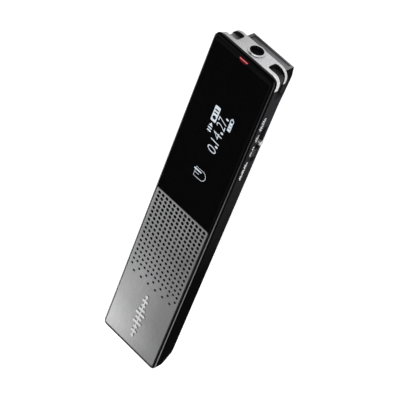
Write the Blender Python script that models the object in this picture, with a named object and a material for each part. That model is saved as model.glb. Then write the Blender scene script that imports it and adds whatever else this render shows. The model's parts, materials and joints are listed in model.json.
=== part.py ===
"""Slim portable voice recorder with a spring clip, as an assembly of separate solids.

The recorder lies on its back: +X to its right, +Y towards the end with the microphones, +Z out of
the display. The origin is under the middle of the whole object. Sizes below are millimetres in the
recorder's own coordinates (x, s, d): x across from the middle, s along from the bottom end, and d
deep from the front face. world() turns them into metres.
"""

import math

import bmesh
import bpy
from mathutils import Vector

MM = 0.001

# Whole body
BODY_HALF = 10.0
BODY_LENGTH = 102.0
BODY_DEPTH = 7.4
OVERALL_DEPTH = 12.2
BOTTOM_RADIUS = 1.5
TOP_RADIUS = 2.2
WALL = 1.2
SIDE_END_D = 5.6
BACK_HALF = 9.0
BACK_RADIUS = 2.5
BACK_EDGE = 0.25
END_BEVEL = 1.3
SEAM = 0.06
ARC_STEPS = 6

# Cut-away lower end: the back slopes from SLANT_FOOT to SLANT_TOP, as (s, d)
SLANT_FOOT = (0.0, 2.2)
SLANT_TOP = (7.0, 7.4)
SLANT_WALL = 0.9

# Front frame and what lies in it
RIM_D = 0.22
FRAME_TOP_RADIUS = 1.4
FRAME_BACK_D = 1.35
SHELF_D = 1.0
FRAME_OPENING = 9.6
PANEL_HALF = 9.35
PANEL_BOTTOM = 0.55
PANEL_TOP = 101.2
PANEL_SEAM = 51.8
PANEL_CHAMFER = 0.25
WINDOW_TOP_CHAMFER = 1.0
WINDOW_CHAMFER_D = 0.35
WINDOW_DEPTH = 0.94
GRILLE_DEPTH = 0.75

# Grille holes: rows run down from HOLE_TOP, further apart and smaller towards the bottom
HOLE_COLUMNS = 13
HOLE_PITCH = 1.35
HOLE_TOP = 50.6
ROW_STEP = 1.31
ROW_STEP_GROWTH = 0.024
FULL_ROWS = 17
HOLE_RADIUS_TOP = 0.39
HOLE_RADIUS_BOTTOM = 0.25
HOLE_SIDES = 6

# Wave emblem
EMBLEM_FOOT = 4.4
EMBLEM_PITCH = 1.62
EMBLEM_BAR = 0.85
EMBLEM_HEIGHTS = (0.5, 1.0, 0.7, 1.5, 1.1, 1.6, 1.1, 0.7, 1.0, 0.5)
EMBLEM_SPINE = 0.22
EMBLEM_D = (-0.15, -0.02)

# Top cap, jack and microphones
CAP_FOOT = 98.4
CAP_BACK_D = 6.43
CAP_LIP_D = 5.6
CAP_LIP_HALF = 7.4
JACK_D = 4.15
JACK_BORE = 1.8
COLLAR_RADIUS = 2.25
COLLAR_PROUD = 0.35
JACK_HALF = 3.1
JACK_INNER_END = 88.0
MIC_SLOT_X = 5.17
MIC_SLOT_FOOT = 95.6
MIC_SLOT_D = (2.6, 5.6)
MIC_RADIUS = 1.7

# Slide switch on the right side
SLOT_S = (75.1, 86.5)
SLOT_D = (3.3, 4.9)
KNOB_S = (75.4, 82.1)
KNOB_LOW_X = 9.9
KNOB_RIB = 1.0
KNOB_PROUD = 0.8
KNOB_TRAVEL = 4.0
FLANGE_GAP = 0.08
FLANGE = 0.4

# Keys on the left side, each named with its middle along the body and its length
KEYS = (("rec_key", 88.5, 7.0), ("stop_key", 81.0, 5.0), ("play_key", 74.5, 5.0),
        ("back_key", 68.8, 3.6), ("forward_key", 64.2, 3.6))
KEY_D = (3.2, 4.8)
KEY_PROUD = 0.4
KEY_TRAVEL = 0.3
USB_S = (54.6, 62.0)
USB_D = (3.15, 5.55)

# Clip: its side profile, its pin and the block that holds it
CLIP_HALF = 6.75
CLIP_SHEET = 0.8
CLIP_TIP = 66.5
CLIP_HEAD = 99.8
CLIP_FACE_D = 11.45
CLIP_FLARE = 84.0
CLIP_BULGE = 96.8
PIN_S = 97.3
PIN_D = 9.4
PIN_RADIUS = 0.6
PIN_CLEARANCE = 0.05
KNUCKLE_RADIUS = 1.15

# Screws, as (x, s)
SCREW_PLACES = ((-5.9, 9.4), (5.9, 9.4), (-5.9, 51.8), (5.9, 51.8))
SCREW_HEAD = 1.05
SCREW_SHAFT = 0.5

# Inside
BATTERY_S = (12.0, 49.0)
BOARD_S = (54.2, 87.4)
BOARD_D = (2.4, 3.1)
BOARD_HALF = 6.2
SPEAKER_S = (26.0, 44.0)


def clear_scene():
    for item in list(bpy.data.objects):
        bpy.data.objects.remove(item, do_unlink=True)


def world(x, s, d):
    return Vector((x, s - BODY_LENGTH / 2, OVERALL_DEPTH - d)) * MM


def make_material(name, colour, roughness, metallic):
    material = bpy.data.materials.new(name)
    material.use_nodes = True
    shader = material.node_tree.nodes["Principled BSDF"]
    shader.inputs["Base Color"].default_value = (*colour, 1.0)
    shader.inputs["Roughness"].default_value = roughness
    shader.inputs["Metallic"].default_value = metallic
    material.diffuse_color = (*colour, 1.0)
    return material


def finish_mesh(name, bm, material):
    """Turn a bmesh into a named object with outward faces and smooth round sides."""
    bmesh.ops.recalc_face_normals(bm, faces=bm.faces)
    mesh = bpy.data.meshes.new(name)
    bm.to_mesh(mesh)
    bm.free()
    item = bpy.data.objects.new(name, mesh)
    bpy.context.collection.objects.link(item)
    if material is not None:
        mesh.materials.append(material)
    mesh.shade_smooth()
    mesh.set_sharp_from_angle(angle=math.radians(35))
    return item


def add_rings(bm, rings):
    """Skin a closed solid through rings of (x, s, d) points, flat at both ends."""
    loops = [[bm.verts.new(world(*point)) for point in ring] for ring in rings]
    for near, far in zip(loops, loops[1:]):
        for i in range(len(near)):
            j = (i + 1) % len(near)
            bm.faces.new((near[i], near[j], far[j], far[i]))
    bm.faces.new(loops[0])
    bm.faces.new(loops[-1])


def solid(name, rings, material=None):
    bm = bmesh.new()
    add_rings(bm, rings)
    return finish_mesh(name, bm, material)


def along(axis, outline, level):
    """Place a flat outline across one axis: the other two coordinates come from the outline."""
    if axis == "x":
        return [(level, a, b) for a, b in outline]
    if axis == "s":
        return [(a, level, b) for a, b in outline]
    return [(a, b, level) for a, b in outline]


def prism(name, axis, outline, low, high, material=None):
    return solid(name, [along(axis, outline, low), along(axis, outline, high)], material)


def chamfered(name, axis, outlines, levels, material=None):
    """Solid whose outline changes from level to level along one axis."""
    return solid(name, [along(axis, o, level) for o, level in zip(outlines, levels)], material)


def circle(a, b, radius, sides):
    turn = 2 * math.pi / sides
    return [(a + radius * math.cos(turn * i), b + radius * math.sin(turn * i)) for i in range(sides)]


def rounded(a0, a1, b0, b1, radii, steps=ARC_STEPS):
    """Rectangle with its own radius at each corner: low-low, high-low, high-high, low-high."""
    if not isinstance(radii, tuple):
        radii = (radii,) * 4
    corners = ((a0, b0, 1, 1, 180), (a1, b0, -1, 1, 270), (a1, b1, -1, -1, 0), (a0, b1, 1, -1, 90))
    points = []
    for (a, b, in_a, in_b, start), radius in zip(corners, radii):
        if radius == 0:
            points.append((a, b))
            continue
        for i in range(steps + 1):
            angle = math.radians(start + 90 * i / steps)
            points.append((a + in_a * radius + radius * math.cos(angle),
                           b + in_b * radius + radius * math.sin(angle)))
    return points


def box(name, x, s, d, material=None):
    return prism(name, "d", rounded(*x, *s, 0), *d, material)


def turned(name, axis, centre, profile, sides, material=None):
    """Solid turned about an axis: profile holds (level along the axis, radius) pairs."""
    rings = [along(axis, circle(*centre, radius, sides), level) for level, radius in profile]
    return solid(name, rings, material)


def combine(target, tool, operation="DIFFERENCE"):
    """Cut or join with EXACT, keep the result as the mesh, and drop the tool."""
    modifier = target.modifiers.new("combine", "BOOLEAN")
    modifier.operation = operation
    modifier.solver = "EXACT"
    modifier.object = tool
    depsgraph = bpy.context.evaluated_depsgraph_get()
    mesh = bpy.data.meshes.new_from_object(target.evaluated_get(depsgraph))
    target.modifiers.remove(modifier)
    mesh.name = target.name
    target.data = mesh
    mesh.shade_smooth()
    mesh.set_sharp_from_angle(angle=math.radians(35))
    bpy.data.objects.remove(tool, do_unlink=True)
    return target


def set_origin(item, x, s, d):
    """Move an object's origin without moving its shape."""
    place = world(x, s, d)
    for vertex in item.data.vertices:
        vertex.co -= place
    item.location = place


def slant_d(s, offset=0.0):
    """Depth of the sloping lower back at s, moved inwards by a wall of the given thickness."""
    (s0, d0), (s1, d1) = SLANT_FOOT, SLANT_TOP
    slope = (d1 - d0) / (s1 - s0)
    return d0 + slope * (s - s0) - offset * math.hypot(1, slope)


def body_outline(d=0.0, inset=0.0, top_radius=TOP_RADIUS, half=BODY_HALF):
    """Outline of the whole body at one depth; its top end slopes in behind the cap."""
    end_share = max(0.0, (d - CAP_BACK_D) / (BODY_DEPTH - CAP_BACK_D))
    top = BODY_LENGTH - END_BEVEL * end_share - inset
    low = BOTTOM_RADIUS - min(inset, BOTTOM_RADIUS - 0.3)
    high = top_radius - min(inset, top_radius - 0.3)
    return rounded(-half + inset, half - inset, inset, top, (low, low, high, high))


def body_solid(name, material, d_back):
    """The body from the frame's seam back to one depth, stepping in behind the side walls."""
    front, step = FRAME_BACK_D + SEAM, SIDE_END_D - 0.06
    layers = [(front, 0, TOP_RADIUS, BODY_HALF), (step, 0, TOP_RADIUS, BODY_HALF),
              (SIDE_END_D, 0, BACK_RADIUS, BACK_HALF), (CAP_BACK_D, 0, BACK_RADIUS, BACK_HALF)]
    if d_back > CAP_BACK_D:
        layers += [(BODY_DEPTH - BACK_EDGE, 0, BACK_RADIUS, BACK_HALF),
                   (BODY_DEPTH, BACK_EDGE, BACK_RADIUS, BACK_HALF)]
    rings = [along("d", body_outline(*layer), layer[0]) for layer in layers]
    return solid(name, rings, material)


def seam_region(name, offset):
    """Everything on the front side of the seam between the band and the rear cover."""
    foot = -2.0
    corner_s = SLANT_TOP[0] * (SIDE_END_D - SLANT_FOOT[1]) / (SLANT_TOP[1] - SLANT_FOOT[1])
    corner_s += SLANT_WALL * 1.25
    outline = [(foot, -3.0), (110.0, -3.0), (110.0, CAP_BACK_D + offset),
               (CAP_FOOT - offset, CAP_BACK_D + offset), (CAP_FOOT - offset, SIDE_END_D + offset),
               (corner_s, SIDE_END_D + offset),
               (foot, SIDE_END_D + offset - (corner_s - foot) * slant_slope())]
    return prism(name, "x", outline, -15, 15)


def slant_slope():
    return (SLANT_TOP[1] - SLANT_FOOT[1]) / (SLANT_TOP[0] - SLANT_FOOT[0])


def slant_cutter(name):
    """Everything behind the sloping lower back."""
    outline = [(-5.0, slant_d(-5.0)), (12.0, slant_d(12.0)), (12.0, 20.0), (-5.0, 20.0)]
    return prism(name, "x", outline, -15, 15)


def make_front_frame(material):
    outlines = [body_outline(0, inset, FRAME_TOP_RADIUS) for inset in (0.2, 0, 0, 0.12)]
    levels = (RIM_D, RIM_D + 0.2, FRAME_BACK_D - 0.1, FRAME_BACK_D)
    frame = chamfered("front_frame", "d", outlines, levels, material)
    seat = rounded(-FRAME_OPENING, FRAME_OPENING, 0.35, PANEL_TOP + 0.2, (1.2, 1.2, 1.3, 1.3))
    combine(frame, prism("seat", "d", seat, 0, SHELF_D))
    windows = (("display_hole", (-7.4, 7.4), (54.8, 87.4)), ("speaker_hole", (-7.4, 7.4), (20, 50.6)),
               ("led_hole", (-1.1, 1.1), (99.2, 100.9)))
    for name, x, s in windows:
        combine(frame, prism(name, "d", rounded(*x, *s, 0.5, 2), 0.8, 2))
    return frame


def panel_outlines(s0, s1, radii, ends):
    """Outlines of a raised panel from front to back: the flat, the chamfer's foot and the back."""
    flat_radii = tuple(max(0.05, r - PANEL_CHAMFER) for r in radii)
    flat = rounded(-PANEL_HALF + PANEL_CHAMFER, PANEL_HALF - PANEL_CHAMFER, s0 + ends[0],
                   s1 - ends[1], flat_radii)
    full = rounded(-PANEL_HALF, PANEL_HALF, s0, s1, radii)
    return [flat, full, full]


def led_outline(grow=0.0):
    """Trapezoid at the head of the window, wide side up."""
    low, high = 100.15 - grow, 101.0 + grow
    return [(-0.8 - grow, low), (0.8 + grow, low), (1.55 + grow, high), (-1.55 - grow, high)]


def make_display_window(material):
    outlines = panel_outlines(PANEL_SEAM + 0.05, PANEL_TOP, (0.1, 0.1, 1.1, 1.1),
                              (0.1, WINDOW_TOP_CHAMFER))
    window = chamfered("display_window", "d", outlines, (0, WINDOW_CHAMFER_D, WINDOW_DEPTH),
                       material)
    return combine(window, prism("led_pocket", "d", led_outline(0.04), -1, 2))


def make_led(window_material, chip_material):
    """Light guide whose face follows the window's flat and its sloping head."""
    face = 0.02
    guide = prism("led_window", "d", led_outline(), face, WINDOW_DEPTH - 0.05, window_material)
    flat_end = PANEL_TOP - WINDOW_TOP_CHAMFER
    slope = [(flat_end, -1), (flat_end, face), (PANEL_TOP, WINDOW_CHAMFER_D + face), (PANEL_TOP, -1)]
    combine(guide, prism("slope", "x", slope, -3, 3))
    box("led_chip", (-0.8, 0.8), (99.5, 100.6), (1.0, 1.65), chip_material)


def hole_rows():
    """Every grille hole as (x, s, radius), row by row down the plate."""
    holes = []
    s = HOLE_TOP
    rows = FULL_ROWS + 2
    for row in range(rows):
        share = row / (rows - 1)
        radius = HOLE_RADIUS_TOP + (HOLE_RADIUS_BOTTOM - HOLE_RADIUS_TOP) * share
        step, first = (1, 0) if row < FULL_ROWS else (2, row - FULL_ROWS)
        for column in range(first, HOLE_COLUMNS, step):
            holes.append(((column - (HOLE_COLUMNS - 1) / 2) * HOLE_PITCH, s, radius))
        s -= ROW_STEP + ROW_STEP_GROWTH * row
    return holes


def make_grille_plate(material):
    outlines = panel_outlines(PANEL_BOTTOM, PANEL_SEAM - 0.05, (1.0, 1.0, 0.1, 0.1), (0.35, 0.1))
    plate = chamfered("grille_plate", "d", outlines, (0, 0.3, GRILLE_DEPTH), material)
    bm = bmesh.new()
    for x, s, radius in hole_rows():
        outline = circle(x, s, radius, HOLE_SIDES)
        add_rings(bm, [along("d", outline, -0.5), along("d", outline, 1.5)])
    return combine(plate, finish_mesh("hole_tool", bm, None))


def make_wave_emblem(material):
    """Sound-wave bars on one spine, standing on the face of the grille plate."""
    top = EMBLEM_FOOT + EMBLEM_PITCH * (len(EMBLEM_HEIGHTS) - 1) + EMBLEM_BAR
    spine = rounded(-EMBLEM_SPINE, EMBLEM_SPINE, EMBLEM_FOOT - 0.2, top + 0.2, 0.12, 2)
    emblem = prism("wave_emblem", "d", spine, *EMBLEM_D, material)
    for i, half in enumerate(EMBLEM_HEIGHTS):
        s = EMBLEM_FOOT + EMBLEM_PITCH * i
        bar = rounded(-half, half, s, s + EMBLEM_BAR, 0.2, 2)
        combine(emblem, prism("bar", "d", bar, *EMBLEM_D, material), "UNION")


def cut_side_hole(target, side, s, d, radius, reach=(8.0, 12.0)):
    """Cut a rounded hole through the wall on one side: side is -1 for left and 1 for right."""
    low, high = sorted((side * reach[0], side * reach[1]))
    combine(target, prism("side_hole", "x", rounded(*s, *d, radius, 3), low, high))


def make_mic_slot_tools():
    """Cutters for both microphone slots, which run over the top and down the corners."""
    tools = []
    for side in (-1, 1):
        low, high = sorted((side * MIC_SLOT_X, side * 12))
        tools.append(prism("slot_top", "s", rounded(low, high, *MIC_SLOT_D, 0.6, 3), 100.1, 104))
        low, high = sorted((side * 8.1, side * 12))
        outline = rounded(MIC_SLOT_FOOT, 104, *MIC_SLOT_D, 0.6, 3)
        tools.append(prism("slot_side", "x", outline, low, high))
    return tools


def make_side_band(material):
    band = prism("side_band", "d", body_outline(), FRAME_BACK_D + SEAM, CAP_BACK_D, material)
    combine(band, prism("cavity", "d", rounded(-BODY_HALF + WALL, BODY_HALF - WALL, WALL, 110,
                                               (0.5, 0.5, 0.5, 0.5), 2), -1, 10))
    combine(band, box("cap_room", (-12, 12), (CAP_FOOT - SEAM, 110), (-1, 10)))
    combine(band, seam_region("seam", 0.0), "INTERSECT")
    for side in (-1, 1):
        for s in (9.4, 51.8):
            low, high = sorted((side * 4.6, side * (BODY_HALF - WALL + 0.2)))
            lug = box("lug", (low, high), (s - 1.6, s + 1.6), (3.9, SIDE_END_D - 0.1), material)
            combine(band, lug, "UNION")
    for x, s in SCREW_PLACES:
        combine(band, turned("hole", "d", (x, s), ((3, 0.56), (8, 0.56)), 8))
    for tool in make_mic_slot_tools():
        combine(band, tool)
    cut_side_hole(band, 1, SLOT_S, SLOT_D, 0.5)
    for _, s, length in KEYS:
        reach = length / 2 + 0.12
        cut_side_hole(band, -1, (s - reach, s + reach), (KEY_D[0] - 0.12, KEY_D[1] + 0.12), 0.45)
    port = (USB_S[0] - 0.1, USB_S[1] + 0.1)
    cut_side_hole(band, -1, port, (USB_D[0] - 0.1, USB_D[1] - 0.4), 0.4)
    return band


def make_top_cap(material):
    cap = body_solid("top_cap", material, CAP_BACK_D)
    combine(cap, box("band_room", (-12, 12), (-5, CAP_FOOT), (-1, 10)))
    inner = rounded(-BODY_HALF + WALL, BODY_HALF - WALL, 90, BODY_LENGTH - WALL,
                    (0.1, 0.1, TOP_RADIUS - WALL, TOP_RADIUS - WALL))
    combine(cap, prism("cavity", "d", inner, -1, CAP_LIP_D))
    narrow = rounded(-CAP_LIP_HALF, CAP_LIP_HALF, 90, BODY_LENGTH - WALL, (0.1, 0.1, 1.0, 1.0))
    combine(cap, prism("back_opening", "d", narrow, -1, 10))
    for tool in make_mic_slot_tools():
        combine(cap, tool)
    hole = ((99, COLLAR_RADIUS - 0.35), (104, COLLAR_RADIUS - 0.35))
    return combine(cap, turned("jack_hole", "s", (0, JACK_D), hole, 24))


def make_rear_cover(material):
    cover = body_solid("rear_cover", material, BODY_DEPTH)
    combine(cover, slant_cutter("slant"))
    combine(cover, seam_region("seam", SEAM))
    inner = [(SLANT_FOOT[0] + 2.4, -1), (100.4, -1), (100.4, BODY_DEPTH - 0.9), (7.6, BODY_DEPTH - 0.9),
             (2.4, slant_d(2.4, SLANT_WALL))]
    combine(cover, prism("hollow", "x", inner, -7.8, 7.8))
    for x, s in SCREW_PLACES:
        combine(cover, turned("hole", "d", (x, s), ((3, 0.6), (9, 0.6)), 8))
        combine(cover, turned("sink", "d", (x, s), ((7.0, 1.15), (9, 1.15)), 12))
    return cover


def make_screws(material):
    for number, (x, s) in enumerate(SCREW_PLACES, 1):
        back = BODY_DEPTH - 0.02
        profile = ((4.2, SCREW_SHAFT), (7.05, SCREW_SHAFT), (7.05, SCREW_HEAD),
                   (back - 0.1, SCREW_HEAD), (back, SCREW_HEAD - 0.1))
        screw = turned(f"rear_screw_{number}", "d", (x, s), profile, 12, material)
        for half in ((0.6, 0.12), (0.12, 0.6)):
            slot = box("drive", (x - half[0], x + half[0]), (s - half[1], s + half[1]), (7.18, 8))
            combine(screw, slot)


def make_jack(ring_material, socket_material):
    outer = [(BODY_LENGTH + 0.03, COLLAR_RADIUS), (BODY_LENGTH + 0.2, COLLAR_RADIUS),
             (BODY_LENGTH + COLLAR_PROUD, COLLAR_RADIUS - 0.15)]
    stem = [(100.95, COLLAR_RADIUS - 0.38), (BODY_LENGTH + 0.03, COLLAR_RADIUS - 0.38)]
    ring = turned("jack_ring", "s", (0, JACK_D), stem + outer, 24, ring_material)
    combine(ring, turned("bore", "s", (0, JACK_D), ((99, JACK_BORE), (104, JACK_BORE)), 24))
    shape = rounded(-JACK_HALF, JACK_HALF, JACK_D - 2.2, JACK_D + 2.2, 0.4, 2)
    socket = prism("jack_socket", "s", shape, JACK_INNER_END, 100.7, socket_material)
    combine(socket, turned("bore", "s", (0, JACK_D), ((JACK_INNER_END + 1, 1.75), (104, 1.75)), 16))


def corner_path(side, inset, foot, inner_x):
    """Points (x, s) from the side wall over the corner to the top wall, at one inset."""
    radius = TOP_RADIUS - inset
    centre = (BODY_HALF - TOP_RADIUS, BODY_LENGTH - TOP_RADIUS)
    points = [(BODY_HALF - inset, foot)]
    for i in range(ARC_STEPS + 1):
        angle = math.radians(90 * i / ARC_STEPS)
        points.append((centre[0] + radius * math.cos(angle), centre[1] + radius * math.sin(angle)))
    points.append((inner_x, BODY_LENGTH - inset))
    return [(side * x, s) for x, s in points]


def make_microphones(mesh_material, capsule_material):
    for side, word in ((-1, "left"), (1, "right")):
        outer = corner_path(side, WALL + 0.06, MIC_SLOT_FOOT - 0.6, MIC_SLOT_X - 0.7)
        inner = corner_path(side, WALL + 0.34, MIC_SLOT_FOOT - 0.6, MIC_SLOT_X - 0.7)
        outline = outer + inner[::-1]
        prism(f"mic_mesh_{word}", "d", outline, MIC_SLOT_D[0] - 0.3, MIC_SLOT_D[1] - 0.03, mesh_material)
        centre = (side * 6.5, sum(MIC_SLOT_D) / 2)
        profile = ((97.2, MIC_RADIUS - 0.2), (97.4, MIC_RADIUS), (99.8, MIC_RADIUS), (100.1, 1.2))
        turned(f"mic_capsule_{word}", "s", centre, profile, 16, capsule_material)


def make_slide_switch(knob_material, switch_material):
    inner = BODY_HALF - WALL - FLANGE_GAP
    head_d = (SLOT_D[0] + 0.12, SLOT_D[1] - 0.12)
    outer = rounded(*KNOB_S, *head_d, 0.4, 3)
    knob = prism("slide_knob", "x", outer, inner - 0.1, KNOB_LOW_X, knob_material)
    foot = rounded(KNOB_S[1] - KNOB_RIB, KNOB_S[1], *head_d, 0.4, 3)
    crown = rounded(KNOB_S[1] - KNOB_RIB + 0.15, KNOB_S[1] - 0.15, head_d[0] + 0.2, head_d[1] - 0.2, 0.3, 3)
    tip = BODY_HALF + KNOB_PROUD
    rib = chamfered("rib", "x", [foot, foot, crown], (inner, tip - 0.2, tip), knob_material)
    combine(knob, rib, "UNION")
    sheet = rounded(SLOT_S[0] - KNOB_TRAVEL - 0.3, SLOT_S[1] + 0.3, SLOT_D[0] - 0.5, SLOT_D[1] + 0.5, 0.3, 2)
    combine(knob, prism("flange", "x", sheet, inner - FLANGE, inner, knob_material), "UNION")
    for i in range(5):
        s = KNOB_S[0] + 0.9 + 0.9 * i
        groove = box("groove", (KNOB_LOW_X - 0.18, 12), (s, s + 0.4), (2, 6))
        combine(knob, groove)
    set_origin(knob, BODY_HALF, sum(KNOB_S) / 2, sum(SLOT_D) / 2)
    shape = rounded(6.5, 8.2, 74.5, 87.0, 0.2, 2)
    prism("slide_switch", "d", shape, 2.9, 5.3, switch_material)


def make_keys(key_material, switch_material):
    inner = BODY_HALF - WALL - FLANGE_GAP
    for name, s, length in KEYS:
        half = length / 2
        outer = rounded(s - half, s + half, *KEY_D, 0.4, 3)
        crown = rounded(s - half + 0.12, s + half - 0.12, KEY_D[0] + 0.12, KEY_D[1] - 0.12, 0.3, 3)
        levels = (-inner + 0.1, -BODY_HALF - KEY_PROUD + 0.12, -BODY_HALF - KEY_PROUD)
        key = chamfered(name, "x", [outer, outer, crown], levels, key_material)
        sheet = rounded(s - half - 0.3, s + half + 0.3, KEY_D[0] - 0.4, KEY_D[1] + 0.4, 0.2, 2)
        combine(key, prism("flange", "x", sheet, -inner, -inner + FLANGE, key_material), "UNION")
        set_origin(key, -BODY_HALF, s, sum(KEY_D) / 2)
        shape = rounded(-7.9, -6.5, s - 1.7, s + 1.7, 0.2, 2)
        prism(name.replace("_key", "_switch"), "d", shape, 3.2, 5.0, switch_material)


def make_usb_port(material):
    outline = rounded(*USB_S, *USB_D, (0.3, 0.3, 0.9, 0.9), 2)
    port = prism("usb_port", "x", outline, -8.7, -4.4, material)
    mouth = rounded(USB_S[0] + 0.35, USB_S[1] - 0.35, USB_D[0] + 0.35, USB_D[1] - 0.35,
                    (0.2, 0.2, 0.7, 0.7), 2)
    combine(port, prism("mouth", "x", mouth, -10, -5.0))
    tongue = box("tongue", (-8.3, -4.8), (USB_S[0] + 1.6, USB_S[1] - 1.6), (4.1, 4.6), material)
    combine(port, tongue, "UNION")


def clip_profile():
    """Outer side profile of the clip as (s, d): sheet, flared head and tapering flanks."""
    low = CLIP_FACE_D - CLIP_SHEET
    return [(CLIP_HEAD, 7.95), (CLIP_HEAD, CLIP_FACE_D), (CLIP_BULGE, OVERALL_DEPTH),
            (CLIP_BULGE - 1.2, OVERALL_DEPTH - 0.02), (CLIP_FLARE, CLIP_FACE_D),
            (CLIP_TIP + 0.4, CLIP_FACE_D), (CLIP_TIP + 0.1, CLIP_FACE_D - 0.15),
            (CLIP_TIP, CLIP_FACE_D - CLIP_SHEET / 2), (CLIP_TIP + 0.1, low + 0.15),
            (CLIP_TIP + 0.4, low), (85.5, low), (93.0, 7.95)]


def make_clip_plate(material):
    clip = prism("clip_plate", "x", clip_profile(), -CLIP_HALF, CLIP_HALF, material)
    inside = CLIP_HALF - CLIP_SHEET
    hollow = [(86.0, 6), (86.0, CLIP_FACE_D - CLIP_SHEET), (CLIP_BULGE - 0.2, OVERALL_DEPTH - 0.85),
              (98.95, 10.9), (98.95, 6)]
    combine(clip, prism("hollow", "x", hollow, -inside, inside))
    recess = [(CLIP_HEAD - 0.3, 6), (CLIP_HEAD - 0.3, 11.0), (105, 11.0), (105, 6)]
    combine(clip, prism("recess", "x", recess, -inside, inside))
    bore = ((-9, PIN_RADIUS + PIN_CLEARANCE), (9, PIN_RADIUS + PIN_CLEARANCE))
    combine(clip, turned("bore", "x", (PIN_S, PIN_D), bore, 16))
    tip = rounded(-CLIP_HALF, CLIP_HALF, CLIP_TIP - 0.5, 110, (2.2, 2.2, 0.4, 0.4), 4)
    combine(clip, prism("trim", "d", tip, 5, 15), "INTERSECT")
    set_origin(clip, 0, PIN_S, PIN_D)
    return clip


def make_clip_base(material):
    foot = BODY_DEPTH + 0.05
    outline = [(91.5, foot), (PIN_S + 0.9, foot)]
    for i in range(9):
        angle = math.radians(180 * i / 8)
        outline.append((PIN_S + KNUCKLE_RADIUS * math.cos(angle), PIN_D + KNUCKLE_RADIUS * math.sin(angle)))
    outline.append((91.5, foot + 0.7))
    base = prism("clip_base", "x", outline, -5.6, 5.6, material)
    bore = ((-9, PIN_RADIUS + PIN_CLEARANCE), (9, PIN_RADIUS + PIN_CLEARANCE))
    combine(base, turned("bore", "x", (PIN_S, PIN_D), bore, 16))
    return combine(base, box("spring_room", (-1.9, 1.9), (95.2, 105), (8.0, 15)))


def make_clip_pin(material):
    end = CLIP_HALF - 0.05
    profile = ((-end, PIN_RADIUS - 0.1), (-end + 0.1, PIN_RADIUS), (end - 0.1, PIN_RADIUS),
               (end, PIN_RADIUS - 0.1))
    turned("clip_pin", "x", (PIN_S, PIN_D), profile, 16, material)


def make_clip_spring(material):
    """Torsion spring round the pin, with one leg on the block and one under the clip's sheet."""
    turns, points_per_turn, radius, wire = 4, 10, 0.86, 0.16
    half_width = 1.35
    total = turns * points_per_turn
    path = [(-half_width, PIN_S - 4.2, 10.75), (-half_width, PIN_S - 2.2, 10.72)]
    for i in range(total + 1):
        angle = math.radians(90 + 360 * i / points_per_turn)
        x = -half_width + 2 * half_width * i / total
        path.append((x, PIN_S + radius * math.cos(angle), PIN_D + radius * math.sin(angle)))
    path += [(half_width, PIN_S + radius + 0.1, PIN_D - 0.1), (half_width, PIN_S + 0.95, PIN_D - 1.15)]
    curve = bpy.data.curves.new("clip_spring", "CURVE")
    curve.dimensions = "3D"
    curve.bevel_depth = wire * MM
    curve.bevel_resolution = 1
    curve.use_fill_caps = True
    spline = curve.splines.new("POLY")
    spline.points.add(len(path) - 1)
    for point, place in zip(spline.points, path):
        point.co = (*world(*place), 1)
    curve.materials.append(material)
    bpy.context.collection.objects.link(bpy.data.objects.new("clip_spring", curve))


def make_display(panel_material, flex_material):
    outline = rounded(-7.1, 7.1, 55.2, 87.0, 0.2, 2)
    prism("oled_panel", "d", outline, 1.05, 2.1, panel_material)
    strip = [(53.5, 1.75), (53.5, 3.45), (53.9, 3.45), (53.9, 1.9), (55.1, 1.9), (55.1, 1.75)]
    prism("display_flex", "x", strip, 0.5, 5.5, flex_material)


def make_board(materials):
    outline = rounded(-BOARD_HALF, BOARD_HALF, *BOARD_S, 0.6, 3)
    prism("main_board", "d", outline, *BOARD_D, materials["board"])
    back = BOARD_D[1] + 0.04
    chips = (("processor_chip", (-3.3, 3.3), (64.5, 71.1), 0.9), ("memory_chip", (-1.0, 5.0), (73.5, 81.5), 0.8))
    for name, x, s, height in chips:
        prism(name, "d", rounded(*x, *s, 0.15, 2), back, back + height, materials["chip"])
    shield = rounded(-2.6, 5.2, 55.8, 62.6, 0.4, 2)
    prism("shield_can", "d", shield, back, back + 1.3, materials["shield"])


def make_power_and_sound(materials):
    cell = rounded(-7.3, 7.3, 3.6, 6.3, 0.7, 3)
    prism("battery", "s", cell, *BATTERY_S, materials["battery"])
    basket = rounded(-5.6, 5.6, *SPEAKER_S, 2.4, 4)
    cone = rounded(-4.6, 4.6, SPEAKER_S[0] + 1, SPEAKER_S[1] - 1, 1.8, 4)
    speaker = prism("speaker_unit", "d", basket, 1.45, 3.4, materials["speaker"])
    combine(speaker, prism("cone", "d", cone, 0, 1.75))
    gauze = rounded(-8.9, 8.9, 20.5, 51.2, 0.4, 2)
    prism("speaker_gauze", "d", gauze, 0.8, 0.94, materials["gauze"])


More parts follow.
